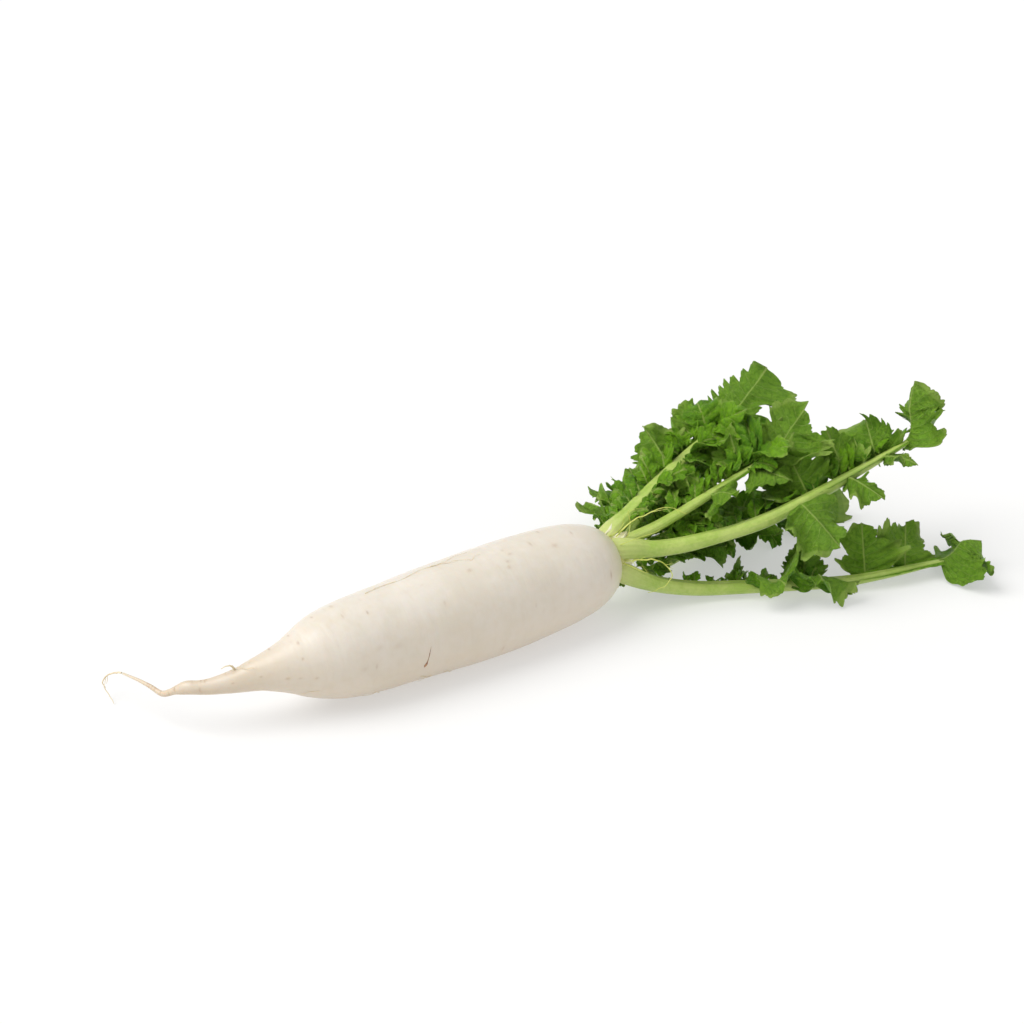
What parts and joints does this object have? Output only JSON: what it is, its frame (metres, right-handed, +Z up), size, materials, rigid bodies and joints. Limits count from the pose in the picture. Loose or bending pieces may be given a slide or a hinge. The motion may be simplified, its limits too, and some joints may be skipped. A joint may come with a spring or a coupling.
{
  "type": "daikon radish",
  "caption": "Long white radish lying on its side, with a curved tapering tail, hair-thin rootlets, a leafy crown and a fan of lobed leaves on thick pale stalks.",
  "frame": {"origin": "middle of the flat that the root rests on, on the surface", "axes": "+X along the root from its tail towards its leaves, +Z up from the surface it lies on, -Y towards the side that the lowest leaf spreads to"},
  "size_m": [0.5748, 0.2619, 0.1251],
  "materials": {
    "root_skin": "satin",
    "crown": "satin",
    "stalk": "satin",
    "blade": "satin",
    "rootlet": "matte",
    "dry_thread": "matte"
  },
  "bodies": {
    "root": {"root": "root_skin", "crown": "crown", "leaf_1_stalk": "stalk", "leaf_1_left_lobe_1": "blade", "leaf_1_right_lobe_1": "blade", "leaf_1_left_lobe_2": "blade", "leaf_1_right_lobe_2": "blade", "leaf_1_left_lobe_3": "blade", "leaf_1_left_lobe_4": "blade", "leaf_1_end_lobe": "blade", "leaf_2_stalk": "stalk", "leaf_2_left_lobe_1": "blade", "leaf_2_left_lobe_2": "blade", "leaf_2_left_lobe_3": "blade", "leaf_2_left_lobe_4": "blade", "leaf_2_right_lobe_1": "blade", "leaf_2_right_lobe_2": "blade", "leaf_2_right_lobe_3": "blade", "leaf_2_end_lobe": "blade", "leaf_3_stalk": "stalk", "leaf_3_left_lobe_1": "blade", "leaf_3_right_lobe_1": "blade", "leaf_3_right_lobe_2": "blade", "leaf_3_left_lobe_2": "blade", "leaf_3_end_lobe": "blade", "leaf_4_stalk": "stalk", "leaf_4_right_lobe_1": "blade", "leaf_4_left_lobe_1": "blade", "leaf_4_right_lobe_2": "blade", "leaf_4_left_lobe_2": "blade", "leaf_4_end_lobe": "blade", "leaf_5_stalk": "stalk", "leaf_5_right_lobe_1": "blade", "leaf_5_left_lobe_1": "blade", "leaf_5_right_lobe_2": "blade", "leaf_5_left_lobe_2": "blade", "leaf_5_end_lobe": "blade", "leaf_6_stalk": "stalk", "leaf_6_left_lobe_1": "blade", "leaf_6_right_lobe_1": "blade", "leaf_6_left_lobe_2": "blade", "leaf_6_right_lobe_2": "blade", "leaf_6_left_lobe_3": "blade", "leaf_6_end_lobe": "blade", "leaf_7_stalk": "stalk", "leaf_7_left_lobe_1": "blade", "leaf_7_right_lobe_1": "blade", "leaf_7_left_lobe_2": "blade", "leaf_7_right_lobe_2": "blade", "leaf_7_end_lobe": "blade", "leaf_8_stalk": "stalk", "leaf_8_left_lobe_1": "blade", "leaf_8_right_lobe_1": "blade", "leaf_8_end_lobe": "blade", "tail_thread": "rootlet", "curled_rootlet": "rootlet", "crown_thread_1": "dry_thread", "crown_thread_2": "dry_thread"}
  },
  "joints": []
}
